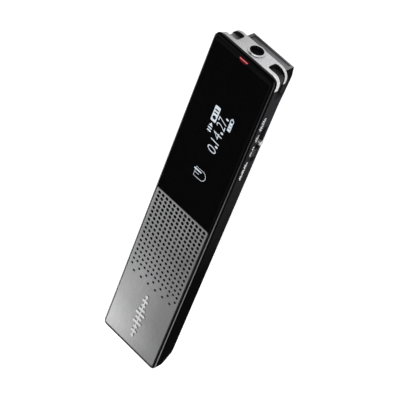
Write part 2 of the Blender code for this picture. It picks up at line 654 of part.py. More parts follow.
def make_recorder():
    black = make_material("black_frame", (0.012, 0.012, 0.013), 0.35, 0.0)
    band = make_material("band_metal", (0.03, 0.03, 0.031), 0.4, 0.6)
    silver = make_material("silver", (0.62, 0.62, 0.63), 0.3, 1.0)
    brushed = make_material("brushed_grille", (0.28, 0.28, 0.285), 0.35, 1.0)
    glass = make_material("window_glass", (0.008, 0.008, 0.009), 0.05, 0.0)
    chrome = make_material("chrome", (0.75, 0.75, 0.77), 0.12, 1.0)
    clip_metal = make_material("clip_metal", (0.09, 0.09, 0.092), 0.4, 1.0)
    mesh = make_material("mic_mesh", (0.05, 0.05, 0.052), 0.6, 0.7)
    plastic = make_material("inner_plastic", (0.03, 0.03, 0.032), 0.5, 0.0)
    red = make_material("led_red", (0.5, 0.01, 0.02), 0.3, 0.0)
    steel = make_material("steel", (0.5, 0.5, 0.51), 0.3, 1.0)
    key = make_material("key_plastic", (0.025, 0.025, 0.027), 0.4, 0.0)
    colours = {"board": make_material("board_green", (0.02, 0.12, 0.05), 0.5, 0.0),
               "chip": make_material("chip_black", (0.02, 0.02, 0.02), 0.5, 0.0),
               "shield": make_material("shield_tin", (0.6, 0.6, 0.6), 0.3, 1.0),
               "battery": make_material("battery_wrap", (0.25, 0.27, 0.3), 0.4, 0.3),
               "speaker": make_material("speaker_black", (0.03, 0.03, 0.03), 0.5, 0.0),
               "gauze": make_material("gauze", (0.015, 0.015, 0.015), 0.9, 0.0)}
    flex = make_material("flex_amber", (0.35, 0.15, 0.03), 0.4, 0.0)

    make_front_frame(black)
    make_display_window(glass)
    make_grille_plate(brushed)
    make_wave_emblem(chrome)
    make_led(red, plastic)
    make_side_band(band)
    make_top_cap(silver)
    make_rear_cover(black)
    make_screws(steel)
    make_jack(chrome, plastic)
    make_microphones(mesh, steel)
    make_slide_switch(key, plastic)
    make_keys(key, plastic)
    make_usb_port(steel)
    make_clip_plate(clip_metal)
    make_clip_base(black)
    make_clip_pin(steel)
    make_clip_spring(steel)
    make_display(glass, flex)
    make_board(colours)
    make_power_and_sound(colours)


clear_scene()
make_recorder()
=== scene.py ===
"""Looks of the slim clip-on voice recorder: camera, studio, finishes and the finer pieces.

Sizes are millimetres in the recorder's own coordinates, as in the CAD: x across, s along from the
bottom end, d deep from the front face. place() turns them into metres in the frame. The camera,
the lights and the floor are in metres.
"""

import json
import math

import bmesh
import bpy
from mathutils import Matrix, Vector


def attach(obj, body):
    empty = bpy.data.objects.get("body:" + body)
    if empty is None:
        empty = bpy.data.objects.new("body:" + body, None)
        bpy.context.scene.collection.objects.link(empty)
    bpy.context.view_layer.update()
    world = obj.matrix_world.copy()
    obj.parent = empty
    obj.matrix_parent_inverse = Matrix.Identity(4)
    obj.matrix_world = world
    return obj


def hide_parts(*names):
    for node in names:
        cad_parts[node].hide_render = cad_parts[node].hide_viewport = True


MM = 0.001
S_MIDDLE = 51.0
FRONT_Z = 12.2

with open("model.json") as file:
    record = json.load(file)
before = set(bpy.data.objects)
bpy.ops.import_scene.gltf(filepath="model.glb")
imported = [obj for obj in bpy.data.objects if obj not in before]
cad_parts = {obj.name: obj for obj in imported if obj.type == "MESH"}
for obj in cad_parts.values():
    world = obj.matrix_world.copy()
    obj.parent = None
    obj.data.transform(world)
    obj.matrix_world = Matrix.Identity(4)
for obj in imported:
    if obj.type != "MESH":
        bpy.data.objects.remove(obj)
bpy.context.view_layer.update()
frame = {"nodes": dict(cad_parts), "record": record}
NODES = frame["nodes"]


def place(x, s, d):
    return Vector((x, s - S_MIDDLE, FRONT_Z - d)) * MM


def body_point(point):
    """The (x, s, d) of a point in the frame."""
    return point.x / MM, point.y / MM + S_MIDDLE, FRONT_Z - point.z / MM


# ---------------------------------------------------------------- camera and studio

CAMERA_AZIMUTH = 149.903
CAMERA_ELEVATION = 41.382
CAMERA_ROLL = -116.355
CAMERA_DISTANCE = 0.478066
CAMERA_AIM = Vector((-0.0000544, 0.0010943, 0.006))
CAMERA_LENS = 172.70
WORLD_STRENGTH = 0.06

# Name, place, what it points at, size and power in watts
LIGHTS = (
    ("overhead", (0.12, 0.42, 0.62), (0, 0, 0), (0.8, 0.8), 2.4),
    ("end_box", (0.1, 0.75, 0.3), (0, 0, 0), (0.7, 0.4), 1.6),
    ("right_box", (0.75, -0.1, 0.3), (0, 0, 0), (0.5, 0.4), 1.4),
    ("left_box", (-0.55, -0.05, 0.38), (0, 0, 0), (0.35, 0.45), 1.15),
    ("foot_box", (0.1, -0.6, 0.35), (0, 0, 0), (0.4, 0.3), 1.0),
    ("sheen_box", (-0.033, -0.0853, 0.0522), (-0.009, -0.04, 0.0122), (0.022, 0.022), 0.0036),
)

# Height and radius of each ring of the floor, which lies low enough for the clip to open above it
FLOOR_RINGS = ((0.0, 0.9), (0.0, 1.3), (0.05, 1.5), (0.25, 1.62), (0.8, 1.65))
FLOOR_SIDES = 48
FLOOR_DROP = 0.0067
PAPER_GLOW = 1.15


def make_camera():
    data = bpy.data.cameras.new("camera")
    data.lens = CAMERA_LENS
    data.sensor_width = 36.0
    data.clip_start, data.clip_end = 0.01, 20.0
    camera = bpy.data.objects.new("camera", data)
    bpy.context.scene.collection.objects.link(camera)
    a, e = math.radians(CAMERA_AZIMUTH), math.radians(CAMERA_ELEVATION)
    back = Vector((math.sin(a) * math.cos(e), -math.cos(a) * math.cos(e), math.sin(e)))
    level = Vector((math.cos(a), math.sin(a), 0.0))
    roll = math.radians(CAMERA_ROLL)
    right = level * math.cos(roll) + back.cross(level) * math.sin(roll)
    turn = Matrix((right, back.cross(right), back)).transposed().to_4x4()
    camera.matrix_world = Matrix.Translation(CAMERA_AIM + back * CAMERA_DISTANCE) @ turn
    bpy.context.scene.camera = camera


def make_light(name, location, target, size, power):
    data = bpy.data.lights.new(name, "AREA")
    data.shape = "RECTANGLE"
    data.size, data.size_y = size
    data.energy = power
    light = bpy.data.objects.new(name, data)
    light.location = location
    light.rotation_mode = "QUATERNION"
    aim = Vector(target) - Vector(location)
    light.rotation_quaternion = aim.to_track_quat("-Z", "Y")
    light.visible_camera = False
    bpy.context.scene.collection.objects.link(light)


def make_studio():
    world = bpy.data.worlds.new("studio")
    world.use_nodes = True
    background = world.node_tree.nodes["Background"]
    background.inputs["Color"].default_value = (1, 1, 1, 1)
    background.inputs["Strength"].default_value = WORLD_STRENGTH
    bpy.context.scene.world = world
    bpy.context.scene.view_settings.view_transform = "Standard"
    for light in LIGHTS:
        make_light(*light)


def floor_paper():
    """Pale paper that glows a little, so that it comes out white behind the recorder."""
    material, nt, bsdf, coords = new_material("floor_paper")
    grain = noise(nt, coords, (0.35, 0.35, 0.35), 3)
    paper = blend_colour(nt, grain, (0.6, 0.6, 0.6), (0.64, 0.64, 0.64))
    feed(nt, paper, bsdf.inputs["Base Color"])
    feed(nt, paper, bsdf.inputs["Emission Color"])
    bsdf.inputs["Emission Strength"].default_value = PAPER_GLOW
    bsdf.inputs["Roughness"].default_value = 0.9
    bsdf.inputs["Specular IOR Level"].default_value = 0.1
    return material


def make_floor():
    """A round sweep of paper that rises far behind the recorder on every side."""
    bm = bmesh.new()
    rings = []
    for height, radius in FLOOR_RINGS:
        rings.append([bm.verts.new((x, y, height - FLOOR_DROP))
                      for x, y in circle(0, 0, radius, FLOOR_SIDES)])
    bm.faces.new(rings[0])
    join_rings(bm, rings)
    floor = make_object("studio_floor", bm)
    floor.data.materials.append(floor_paper())


# ---------------------------------------------------------------- node helpers

X_AXIS, S_AXIS, Z_AXIS = range(3)


def new_material(name):
    """A material with its Principled shader and coordinates in millimetres."""
    material = bpy.data.materials.new(name)
    material.use_nodes = True
    nt = material.node_tree
    bsdf = nt.nodes["Principled BSDF"]
    texture = nt.nodes.new("ShaderNodeTexCoord")
    scale = nt.nodes.new("ShaderNodeVectorMath")
    scale.operation = "SCALE"
    scale.inputs["Scale"].default_value = 1 / MM
    feed(nt, texture.outputs["Object"], scale.inputs[0])
    return material, nt, bsdf, scale.outputs[0]


def feed(nt, value, socket):
    """Give a socket a number, a colour or the output of another node."""
    if isinstance(value, (int, float)):
        socket.default_value = value
    elif isinstance(value, tuple):
        socket.default_value = (*value, 1)
    else:
        nt.links.new(value, socket)


def math_node(nt, operation, a, b):
    node = nt.nodes.new("ShaderNodeMath")
    node.operation = operation
    feed(nt, a, node.inputs[0])
    feed(nt, b, node.inputs[1])
    return node.outputs[0]


def noise(nt, coords, per_mm, detail, roughness=0.55):
    """Noise with its own frequency along each axis, in cycles per millimetre."""
    stretch = nt.nodes.new("ShaderNodeVectorMath")
    stretch.operation = "MULTIPLY"
    feed(nt, coords, stretch.inputs[0])
    stretch.inputs[1].default_value = per_mm
    node = nt.nodes.new("ShaderNodeTexNoise")
    node.inputs["Scale"].default_value = 1.0
    node.inputs["Detail"].default_value = detail
    node.inputs["Roughness"].default_value = roughness
    feed(nt, stretch.outputs[0], node.inputs["Vector"])
    return node.outputs["Fac"]


def mix_noises(nt, fine, slow, share):
    """Two noises added up, with the slow one's share of the whole."""
    return math_node(nt, "ADD", math_node(nt, "MULTIPLY", fine, 1 - share),
                     math_node(nt, "MULTIPLY", slow, share))


def spread(nt, value, low, high, out_low=0.0, out_high=1.0):
    """A value that goes from out_low to out_high while its input goes from low to high."""
    node = nt.nodes.new("ShaderNodeMapRange")
    node.inputs["From Min"].default_value = low
    node.inputs["From Max"].default_value = high
    node.inputs["To Min"].default_value = out_low
    node.inputs["To Max"].default_value = out_high
    feed(nt, value, node.inputs["Value"])
    return node.outputs["Result"]


def blend_colour(nt, factor, a, b):
    node = nt.nodes.new("ShaderNodeMix")
    node.data_type = "RGBA"
    feed(nt, factor, node.inputs["Factor"])
    feed(nt, a, node.inputs[6])
    feed(nt, b, node.inputs[7])
    return node.outputs[2]


def bump(nt, bsdf, height, depth_mm):
    node = nt.nodes.new("ShaderNodeBump")
    node.inputs["Distance"].default_value = depth_mm * MM
    feed(nt, height, node.inputs["Height"])
    feed(nt, node.outputs["Normal"], bsdf.inputs["Normal"])


def axis_of(nt, coords, axis):
    node = nt.nodes.new("ShaderNodeSeparateXYZ")
    feed(nt, coords, node.inputs[0])
    return node.outputs[axis]


# ---------------------------------------------------------------- finishes

# Grain in cycles per millimetre: brushed along the body, brushed across it, or blasted
ALONG = (9.0, 0.25, 9.0)
ACROSS = (0.3, 9.0, 9.0)
BLAST = (14.0, 14.0, 14.0)
COARSE_BLAST = (3.0, 3.0, 3.0)
PRINTED = (6.0, 6.0, 6.0)
SLOW_PATCHES = (0.12, 0.12, 0.12)
PATCH_SHARE = 0.3

# A painted light fade is (axis, low, high, factor): painted light and shade that scales a finish's
# colour along one axis, with the places measured in mm from the frame's origin
# Painted highlights on the frame's rims fade to a quarter towards the top
PAINTED_HIGHLIGHT_FADE = (S_AXIS, -5.0, 25.0, 0.25)

SURFACES = {
    # frame_black: painted shade, a quarter as light towards the right
    "frame_black": dict(colour=(0.012, 0.012, 0.0123), roughness=0.3, grain=BLAST, depth=0.002,
                        specular=0.0, tint=0.25, painted_light_fade=(X_AXIS, -9.0, 7.0, 0.25)),
    # frame_edge: painted highlight, a lit grey metal copy of the black frame on its right rim
    "frame_edge": dict(colour=(0.17, 0.17, 0.171), roughness=0.35, grain=ALONG, depth=0.002,
                       metallic=1.0, painted_light_fade=PAINTED_HIGHLIGHT_FADE),
    # frame_top: painted highlight on the frame's upward faces, painted near black towards the
    # front face
    "frame_top": dict(colour=(0.035, 0.035, 0.0354), roughness=0.3, grain=BLAST, depth=0.002,
                      specular=0.0, tint=0.25, painted_light_fade=(Z_AXIS, 10.95, 11.6, 0.03)),
    # left_edge: painted highlight, light grey metal on the frame's left rim and the plate's left
    # edge, fading towards the top
    "left_edge": dict(colour=(0.5, 0.5, 0.505), roughness=0.35, grain=ALONG, depth=0.002,
                      metallic=1.0, painted_light_fade=PAINTED_HIGHLIGHT_FADE),
    # shaded_plate_edge: painted shade, a dark metal copy of the grille on the plate's rim
    "shaded_plate_edge": dict(colour=(0.035, 0.035, 0.036), roughness=0.4, grain=ALONG, depth=0.002,
                       metallic=1.0),
    # band_metal: painted light, up to eight times as light towards the top end
    "band_metal": dict(colour=(0.003, 0.003, 0.0032), roughness=0.3, grain=ALONG, depth=0.003,
                       specular=0.0, tint=0.3, painted_light_fade=(S_AXIS, -15.0, 38.0, 8.0)),
    "rear_black": dict(colour=(0.009, 0.009, 0.0095), roughness=0.5, grain=BLAST, depth=0.004,
                       specular=0.02, tint=0.25),
    # cap_silver: painted sheen, nearly twice as light towards the right
    "cap_silver": dict(colour=(0.3, 0.3, 0.304), roughness=0.36, grain=COARSE_BLAST, depth=0.005,
                       metallic=1.0, tint=0.35, painted_light_fade=(X_AXIS, -8.0, 10.0, 1.95)),
    "collar": dict(colour=(0.42, 0.42, 0.425), roughness=0.22, grain=BLAST, depth=0.002,
                   metallic=1.0),
    # slot_dark: painted shade in the grille's holes, the cap's slots and the lower mic mesh; also
    # the black print cut into the display's badge
    "slot_dark": dict(colour=(0.006, 0.006, 0.006), roughness=0.6, grain=BLAST, depth=0.003,
                      specular=0.08),
    # mic_mesh: painted shade, a quarter as light towards the right
    "mic_mesh": dict(colour=(0.19, 0.19, 0.192), roughness=0.5, grain=BLAST, depth=0.002,
                     metallic=1.0, painted_light_fade=(X_AXIS, -6.0, 7.5, 0.25)),
    # clip_metal: painted light, up to 2.2 times as light towards the right
    "clip_metal": dict(colour=(0.07, 0.07, 0.072), roughness=0.42, grain=ACROSS, depth=0.003,
                       metallic=1.0, tint=0.3, painted_light_fade=(X_AXIS, -6.0, 5.0, 2.2)),
    # clip_side: painted shade, near black, on the clip's flanks, the knob's ends and the window's
    # sides
    "clip_side": dict(colour=(0.006, 0.006, 0.0063), roughness=0.4, grain=ALONG, depth=0.003,
                      specular=0.0),
    "window_glass": dict(colour=(0.0022, 0.0022, 0.0024), roughness=0.07, grain=(0.6, 0.6, 0.6),
                         depth=0.0002, specular=0.07, tint=0.2, uneven=0.02),
    "emblem": dict(colour=(0.68, 0.68, 0.685), roughness=0.42, grain=ALONG, depth=0.002,
                   metallic=1.0, tint=0.05),
    # emblem_edge: painted shade, dark metal on the emblem's side walls
    "emblem_edge": dict(colour=(0.12, 0.12, 0.122), roughness=0.4, grain=BLAST, depth=0.002,
                        metallic=1.0),
    "knob_plastic": dict(colour=(0.02, 0.02, 0.0203), roughness=0.5, grain=BLAST, depth=0.003,
                         specular=0.16),
    # knob_tip: painted highlight, light grey metal on the dark plastic knob's top end
    "knob_tip": dict(colour=(0.5, 0.5, 0.505), roughness=0.4, grain=BLAST, depth=0.002,
                     metallic=1.0),
    "key_plastic": dict(colour=(0.02, 0.02, 0.022), roughness=0.42, grain=BLAST, depth=0.003,
                        specular=0.3),
    "steel": dict(colour=(0.55, 0.55, 0.56), roughness=0.28, grain=ALONG, depth=0.002,
                  metallic=1.0),
    "inner_plastic": dict(colour=(0.012, 0.012, 0.013), roughness=0.5, grain=BLAST, depth=0.004,
                          specular=0.15),
    "gauze": dict(colour=(0.006, 0.006, 0.006), roughness=0.9, grain=(5.0, 5.0, 5.0), depth=0.05,
                  specular=0.05),
    "board": dict(colour=(0.015, 0.1, 0.04), roughness=0.4, grain=(2.0, 2.0, 2.0), depth=0.01,
                  tint=0.3),
    "flex": dict(colour=(0.35, 0.15, 0.03), roughness=0.4, grain=(3.0, 3.0, 3.0), depth=0.005),
    "battery_wrap": dict(colour=(0.25, 0.27, 0.3), roughness=0.35, grain=(1.0, 1.0, 1.0),
                         depth=0.02),
    "shield": dict(colour=(0.6, 0.6, 0.6), roughness=0.3, grain=ACROSS, depth=0.003, metallic=1.0),
    "print_white": dict(colour=(0.75, 0.76, 0.78), roughness=0.5, grain=PRINTED, depth=0.001),
    "mark_red": dict(colour=(0.5, 0.02, 0.03), roughness=0.45, grain=PRINTED, depth=0.001),
}

# The light guide's lit strip: at each end, s where the light starts and s where it is full
STRIP_LOW = (100.56, 100.64)
STRIP_HIGH = (100.82, 100.74)


def surface(name, colour, roughness, grain, depth, metallic=0.0, specular=0.5, tint=0.12,
            uneven=0.08, painted_light_fade=None):
    """A finish with fine grain, slow patches of colour and gloss, and a bump of the given depth.

    The colour grows by a painted light fade's factor between its two places: painted light where
    the factor is above one, painted shade where it is below.
    """
    material, nt, bsdf, coords = new_material(name)
    fine = noise(nt, coords, grain, 4)
    mixed = mix_noises(nt, fine, noise(nt, coords, SLOW_PATCHES, 2), PATCH_SHARE)
    ease = spread(nt, mixed, 0.3, 0.7)
    dark = tuple(c * (1 - tint) for c in colour)
    light = tuple(min(1.0, c * (1 + tint)) for c in colour)
    tone = blend_colour(nt, ease, dark, light)
    # Painted light and shade: the colour is scaled along one axis between two places
    if painted_light_fade:
        axis, low, high, factor = painted_light_fade
        painted_light_tone = blend_colour(nt, ease, tuple(c * factor for c in dark),
                                tuple(c * factor for c in light))
        tone = blend_colour(nt, spread(nt, axis_of(nt, coords, axis), low, high), tone, painted_light_tone)
    gloss = spread(nt, mixed, 0.3, 0.7, max(0.02, roughness - uneven), roughness + uneven)
    feed(nt, tone, bsdf.inputs["Base Color"])
    feed(nt, gloss, bsdf.inputs["Roughness"])
    bsdf.inputs["Metallic"].default_value = metallic
    bsdf.inputs["Specular IOR Level"].default_value = specular
    bump(nt, bsdf, fine, depth)
    return material


def screen_light(name):
    """Pale cells that glow, for the display's print."""
    material, nt, bsdf, coords = new_material(name)
    cells = noise(nt, coords, PRINTED, 2)
    glow = blend_colour(nt, cells, (0.51, 0.561, 0.612), (0.6, 0.66, 0.72))
    feed(nt, glow, bsdf.inputs["Base Color"])
    feed(nt, glow, bsdf.inputs["Emission Color"])
    bsdf.inputs["Emission Strength"].default_value = 0.36
    feed(nt, spread(nt, cells, 0.2, 0.8, 0.25, 0.4), bsdf.inputs["Roughness"])
    return material


def brushed_plate(name):
    """Steel brushed along the body, with painted shade to the right and around the middle of its
    length, and a painted sheen elsewhere.
    """
    material, nt, bsdf, coords = new_material(name)
    streaks = noise(nt, coords, (11.0, 0.4, 11.0), 4, 0.6)
    mixed = mix_noises(nt, streaks, noise(nt, coords, (5.0, 5.0, 5.0), 2), 0.35)
    ease = spread(nt, mixed, 0.32, 0.68)
    x, s = axis_of(nt, coords, X_AXIS), axis_of(nt, coords, S_AXIS)
    # Painted shade: how far each place moves from the painted sheen tone to the shaded tone
    painted_sheen_falloff = math_node(nt, "ADD", spread(nt, s, -46.0, -37.0, 0.1, 0.5),
                          spread(nt, s, -13.0, -2.0, 0.0, -0.5))
    painted_sheen_falloff = math_node(nt, "ADD", spread(nt, x, -9.3, 9.3, 0.0, 0.65), painted_sheen_falloff)
    sheen_tone = blend_colour(nt, ease, (0.44, 0.44, 0.445), (0.68, 0.68, 0.685))
    shaded_tone = blend_colour(nt, ease, (0.22, 0.22, 0.224), (0.35, 0.35, 0.355))
    feed(nt, blend_colour(nt, painted_sheen_falloff, sheen_tone, shaded_tone), bsdf.inputs["Base Color"])
    feed(nt, spread(nt, mixed, 0.3, 0.7, 0.38, 0.5), bsdf.inputs["Roughness"])
    bsdf.inputs["Metallic"].default_value = 1.0
    bump(nt, bsdf, mixed, 0.006)
    return material


def light_guide(name):
    """Dark red plastic with a lit strip across it."""
    material, nt, bsdf, coords = new_material(name)
    cloud = noise(nt, coords, (1.5, 1.5, 1.5), 2)
    s = axis_of(nt, coords, S_AXIS)
    ends = [spread(nt, s, start - S_MIDDLE, full - S_MIDDLE)
            for start, full in (STRIP_LOW, STRIP_HIGH)]
    strip = math_node(nt, "MULTIPLY", *ends)
    plastic = blend_colour(nt, cloud, (0.04, 0.001, 0.002), (0.06, 0.001, 0.003))
    glow = blend_colour(nt, strip, (0.1, 0.0, 0.003), (1.0, 0.3, 0.34))
    feed(nt, plastic, bsdf.inputs["Base Color"])
    feed(nt, glow, bsdf.inputs["Emission Color"])
    bsdf.inputs["Emission Strength"].default_value = 0.75
    feed(nt, spread(nt, cloud, 0.2, 0.8, 0.15, 0.3), bsdf.inputs["Roughness"])
    return material


def make_finishes():
    finishes = {name: surface(name, **look) for name, look in SURFACES.items()}
    for name, make in (("grille_metal", brushed_plate), ("light_red", light_guide),
                       ("screen_light", screen_light)):
        finishes[name] = make(name)
    return finishes


NODE_FINISH = {
    "front_frame": "frame_black", "rear_cover": "rear_black", "clip_base": "rear_black",
    "side_band": "band_metal", "top_cap": "cap_silver", "grille_plate": "grille_metal",
    "display_window": "window_glass", "oled_panel": "window_glass", "wave_emblem": "emblem",
    "jack_ring": "collar", "clip_plate": "clip_metal", "led_window": "light_red",
    "slide_knob": "knob_plastic", "usb_port": "steel", "clip_pin": "steel", "clip_spring": "steel",
    "speaker_gauze": "gauze", "main_board": "board", "display_flex": "flex",
    "battery": "battery_wrap", "shield_can": "shield",
}


def finish_of(node):
    if node in NODE_FINISH:
        return NODE_FINISH[node]
    if node.startswith(("rear_screw", "mic_capsule")):
        return "steel"
    if node.startswith("mic_mesh"):
        return "mic_mesh"
    if node.endswith("_key"):
        return "key_plastic"
    return "inner_plastic"


def dress_nodes():
    for name, node in NODES.items():
        material = FINISHES[finish_of(name)]
        for slot in node.material_slots:
            slot.material = material
        if not node.material_slots:
            node.data.materials.append(material)


# ---------------------------------------------------------------- mesh helpers

MERGE_DISTANCE = 0.004
FLAT_ANGLE = math.radians(1)
CREASE_ANGLE = math.radians(28)


def rounded(a0, a1, b0, b1, radius, steps=4):
    """Points round a rectangle with rounded corners."""
    points = []
    for a, b, start in ((a0, b0, 180), (a1, b0, 270), (a1, b1, 0), (a0, b1, 90)):
        in_a, in_b = (1 if a == a0 else -1), (1 if b == b0 else -1)
        for i in range(steps + 1):
            angle = math.radians(start + 90 * i / steps)
            points.append((a + in_a * radius + radius * math.cos(angle),
                           b + in_b * radius + radius * math.sin(angle)))
    return points


def circle(a, b, radius, sides):
    return [(a + radius * math.cos(2 * math.pi * i / sides),
             b + radius * math.sin(2 * math.pi * i / sides)) for i in range(sides)]


def join_rings(bm, rings):
    """Faces between rings with the same number of points."""
    for low, high in zip(rings, rings[1:]):
        for i in range(len(low)):
            j = (i + 1) % len(low)
            bm.faces.new((low[i], low[j], high[j], high[i]))


def add_stack(bm, layers):
    """A closed solid through outlines of (x, s, d) points with the same number of points."""
    rings = [[bm.verts.new(place(*point)) for point in layer] for layer in layers]
    bm.faces.new(rings[0])
    bm.faces.new(rings[-1])
    join_rings(bm, rings)


def make_object(name, bm):
    mesh = bpy.data.meshes.new(name)
    bmesh.ops.recalc_face_normals(bm, faces=bm.faces)
    bm.to_mesh(mesh)
    bm.free()
    piece = bpy.data.objects.new(name, mesh)
    bpy.context.scene.collection.objects.link(piece)
    return piece


def evaluated_mesh(piece):
    return bpy.data.meshes.new_from_object(
        piece.evaluated_get(bpy.context.evaluated_depsgraph_get()))


def body_of_node(node):
    for name, members in frame["record"]["behaviour"]["bodies"].items():
        if node in members:
            return name
    return "body"


def ride(piece, finish, body="body"):
    piece.data.materials.append(FINISHES[finish])
    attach(piece, body)


def add_finishes(piece, others):
    """Give the faces that pass a test another finish. The others are (finish, test) pairs."""
    for finish, test in others:
        piece.data.materials.append(FINISHES[finish])
        index = len(piece.data.materials) - 1
        for polygon in piece.data.polygons:
            if test(polygon.center, polygon.normal):
                polygon.material_index = index


def eased_copy(node, width, *others):
    """A copy of a CAD node with its sharp edges rounded off, shown in the node's place."""
    bm = bmesh.new()
    bm.from_mesh(NODES[node].data)
    bmesh.ops.remove_doubles(bm, verts=bm.verts, dist=MERGE_DISTANCE * MM)
    bmesh.ops.dissolve_limit(bm, angle_limit=FLAT_ANGLE, verts=bm.verts, edges=bm.edges)
    piece = make_object(f"{node}_eased", bm)
    piece.data.materials.clear()
    ride(piece, finish_of(node), body_of_node(node))
    for polygon in piece.data.polygons:
        polygon.use_smooth = True
        polygon.material_index = 0
    add_finishes(piece, others)
    piece.data.set_sharp_from_angle(angle=CREASE_ANGLE)
    bevel = piece.modifiers.new("ease", "BEVEL")
    bevel.width = width * MM
    bevel.segments = 2
    bevel.limit_method = "ANGLE"
    bevel.angle_limit = CREASE_ANGLE
    even = piece.modifiers.new("even", "WEIGHTED_NORMAL")
    even.keep_sharp = True
    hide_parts(node)


# ---------------------------------------------------------------- grille

PANEL_HALF = 9.35
PLATE_S = (0.55, 51.75)
PLATE_BACK_D = 0.75
PLATE_CORNER = 0.8
SHARPEST_CORNER = 0.12
# Inset and depth of each layer of the plate. The foot's edge is broader, the top's narrower.
PLATE_LAYERS = ((0.25, 0.0), (0.13, 0.03), (0.03, 0.15), (0.0, 0.3), (0.0, PLATE_BACK_D))
FOOT_EDGE = 2.4
TOP_EDGE = 0.4

HOLE_COLUMNS = 13
HOLE_PITCH = 1.35
HOLE_TOP = 50.6
ROW_STEP = 1.31
ROW_STEP_GROWTH = 0.024
FULL_ROWS = 17
HOLE_RADII = (0.52, 0.38)
HOLE_SIDES = 16
HOLE_CUT_D = (-0.3, 1.2)
COUNTERSINK = 0.025

HOLED_HALF = 8.9
HOLED_S = (1.3, 51.3)
LEFT_EDGE_X = -9.0
FACE_NORMAL_Z = 0.997


def hole_rows():
    """Every hole as (x, s, radius): full rows, then two half rows that alternate."""
    holes = []
    s = HOLE_TOP
    rows = FULL_ROWS + 2
    for row in range(rows):
        radius = HOLE_RADII[0] + (HOLE_RADII[1] - HOLE_RADII[0]) * row / (rows - 1)
        step, first = (1, 0) if row < FULL_ROWS else (2, row - FULL_ROWS)
        for column in range(first, HOLE_COLUMNS, step):
            holes.append(((column - (HOLE_COLUMNS - 1) / 2) * HOLE_PITCH, s, radius))
        s -= ROW_STEP + ROW_STEP_GROWTH * row
    return holes


def plate_blank():
    bm = bmesh.new()
    layers = []
    for inset, d in PLATE_LAYERS:
        half = PANEL_HALF - inset
        low, high = PLATE_S[0] + FOOT_EDGE * inset, PLATE_S[1] - TOP_EDGE * inset
        outline = rounded(-half, half, low, high, max(SHARPEST_CORNER, PLATE_CORNER - inset), 5)
        layers.append([(x, s, d) for x, s in outline])
    add_stack(bm, layers)
    return make_object("grille_face", bm)


def hole_tool():
    bm = bmesh.new()
    front, back = HOLE_CUT_D
    for x, s, radius in hole_rows():
        mouth = radius + COUNTERSINK
        sizes = ((mouth - front, front), (mouth, 0.0), (radius, COUNTERSINK), (radius, back))
        add_stack(bm, [[(a, b, d) for a, b in circle(x, s, r, HOLE_SIDES)] for r, d in sizes])
    return make_object("hole_tool", bm)


def holed(centre):
    """True inside the part of the plate that the holes and the mark lie in."""
    x, s, d = body_point(centre)
    return abs(x) < HOLED_HALF and HOLED_S[0] < s < HOLED_S[1]


# The walls of the grille's holes, which get painted shade
def shaded_hole_wall(centre, normal):
    return holed(centre) and body_point(centre)[2] > COUNTERSINK


# The plate's rim outside the holes, which gets painted shade
def shaded_plate_edge(centre, normal):
    return not holed(centre) and normal.z < FACE_NORMAL_Z


# The plate's left edge, which gets a painted highlight
def plate_left_edge(centre, normal):
    return shaded_plate_edge(centre, normal) and centre.x < LEFT_EDGE_X * MM


def make_grille():
    """The plate with round countersunk holes and a softly broken rim."""
    piece = plate_blank()
    tool = hole_tool()
    cut = piece.modifiers.new("holes", "BOOLEAN")
    cut.operation, cut.solver, cut.object = "DIFFERENCE", "EXACT", tool
    mesh = evaluated_mesh(piece)
    piece.modifiers.clear()
    piece.data = mesh
    bpy.data.objects.remove(tool)
    ride(piece, "grille_metal")
    # Painted shade on the hole walls and the plate's rim, and a painted highlight on its left edge
    add_finishes(piece, (("slot_dark", shaded_hole_wall), ("shaded_plate_edge", shaded_plate_edge),
                         ("left_edge", plate_left_edge)))
    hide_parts("grille_plate")


# ---------------------------------------------------------------- microphone mesh

BODY_HALF = 10.0
BODY_LENGTH = 102.0
CORNER_RADIUS = 2.2
MESH_INSET = 1.27
MESH_FOOT = 95.0
MESH_SHADE = 98.4
MESH_INNER_X = 4.5
MESH_D = (2.35, 5.55)
MESH_CELLS = (16, 5)
MESH_THICK = 0.12
CELL_HOLE = 0.32
CELL_SIDES = 8


def mesh_point(side, share):
    """Point (x, s) part of the way from the side wall's foot, over the corner, to the top wall."""
    radius = CORNER_RADIUS - MESH_INSET
    rise = BODY_LENGTH - CORNER_RADIUS - MESH_FOOT
    run = BODY_HALF - CORNER_RADIUS - MESH_INNER_X
    bend = radius * math.pi / 2
    t = share * (rise + bend + run)
    if t < rise:
        return side * (BODY_HALF - MESH_INSET), MESH_FOOT + t
    if t < rise + bend:
        angle = (t - rise) / radius
        return (side * (BODY_HALF - CORNER_RADIUS + radius * math.cos(angle)),
                BODY_LENGTH - CORNER_RADIUS + radius * math.sin(angle))
    return (side * (BODY_HALF - CORNER_RADIUS - (t - rise - bend)), BODY_LENGTH - MESH_INSET)


def cell_rings(column, row):
    """The square outline of a mesh cell and the round hole in it, both with eight points."""
    square, hole = [], []
    for i in range(CELL_SIDES):
        angle = 2 * math.pi * i / CELL_SIDES
        c, n = math.cos(angle), math.sin(angle)
        reach = 0.5 / max(abs(c), abs(n))
        square.append((column + 0.5 + reach * c, row + 0.5 + reach * n))
        hole.append((column + 0.5 + CELL_HOLE * c, row + 0.5 + CELL_HOLE * n))
    return square, hole


def shaded_mesh(centre, normal):
    return centre.y < (MESH_SHADE - S_MIDDLE) * MM


